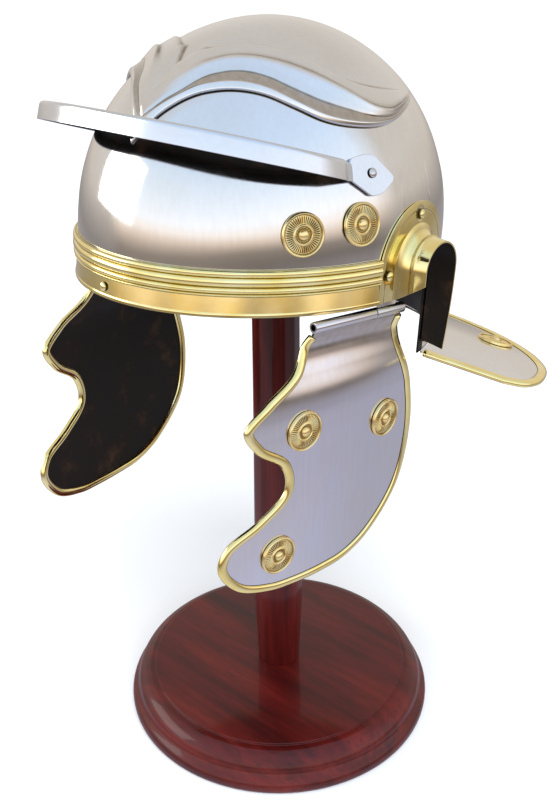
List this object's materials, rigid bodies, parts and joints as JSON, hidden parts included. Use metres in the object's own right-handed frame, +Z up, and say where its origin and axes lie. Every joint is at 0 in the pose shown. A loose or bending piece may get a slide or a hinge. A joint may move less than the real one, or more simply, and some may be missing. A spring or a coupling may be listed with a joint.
{
  "type": "roman legionary helmet on a plain wooden stand",
  "caption": "Polished steel legionary helmet with brass edging and rosettes, flared neck guard, brow guard and hinged cheek guards, resting on a turned wooden stand",
  "frame": {"origin": "centre of the stand's foot, on the table", "axes": "+Z up, -Y towards the brow, +X towards the wearer's left"},
  "size_m": [0.3336, 0.3064, 0.5089],
  "materials": {
    "polished_steel": "polished sheet steel with faint rubbed streaks",
    "brass": "satin rolled brass sheet",
    "aged_brass": "pressed brass with dark patina in the grooves",
    "dark_wood": "glossy dark red-brown lacquer"
  },
  "bodies": {
    "root": {"stand_base": "dark_wood", "stand_post": "dark_wood", "stand_head": "dark_wood", "bowl": "polished_steel", "neck_guard": "polished_steel", "neck_trim": "brass", "brow_guard": "polished_steel", "brow_band": "brass", "band_rivet": "brass", "ear_guard_left": "brass", "hinge_leaf_left": "polished_steel", "hinge_pin_left": "polished_steel", "brow_rivet_left": "polished_steel", "bowl_rosette_front_left": "aged_brass", "bowl_rosette_back_left": "aged_brass", "ear_rivet_front_left": "brass", "ear_rivet_top_left": "brass", "ear_rivet_back_left": "brass", "neck_rosette_left": "aged_brass", "ear_guard_right": "brass", "hinge_leaf_right": "polished_steel", "hinge_pin_right": "polished_steel", "brow_rivet_right": "polished_steel", "bowl_rosette_front_right": "aged_brass", "bowl_rosette_back_right": "aged_brass", "ear_rivet_front_right": "brass", "ear_rivet_top_right": "brass", "ear_rivet_back_right": "brass", "neck_rosette_right": "aged_brass"},
    "cheek_left": {"cheek_plate_left": "polished_steel", "cheek_trim_left": "brass", "cheek_rosette_front_left": "aged_brass", "cheek_rosette_back_left": "aged_brass", "cheek_rosette_low_left": "aged_brass"},
    "cheek_right": {"cheek_plate_right": "polished_steel", "cheek_trim_right": "brass", "cheek_rosette_front_right": "aged_brass", "cheek_rosette_back_right": "aged_brass", "cheek_rosette_low_right": "aged_brass"}
  },
  "joints": [
    {"name": "cheek_left_hinge", "type": "hinge", "parent": "root", "child": "cheek_left", "pos_m": [0.094, -0.0767, 0.3575], "axis": [-0.1461, -0.986, 0.0807], "range_deg": [-25, 100]},
    {"name": "cheek_right_hinge", "type": "hinge", "parent": "root", "child": "cheek_right", "pos_m": [-0.094, -0.0767, 0.3575], "axis": [-0.1461, 0.986, -0.0807], "range_deg": [-25, 100]}
  ]
}
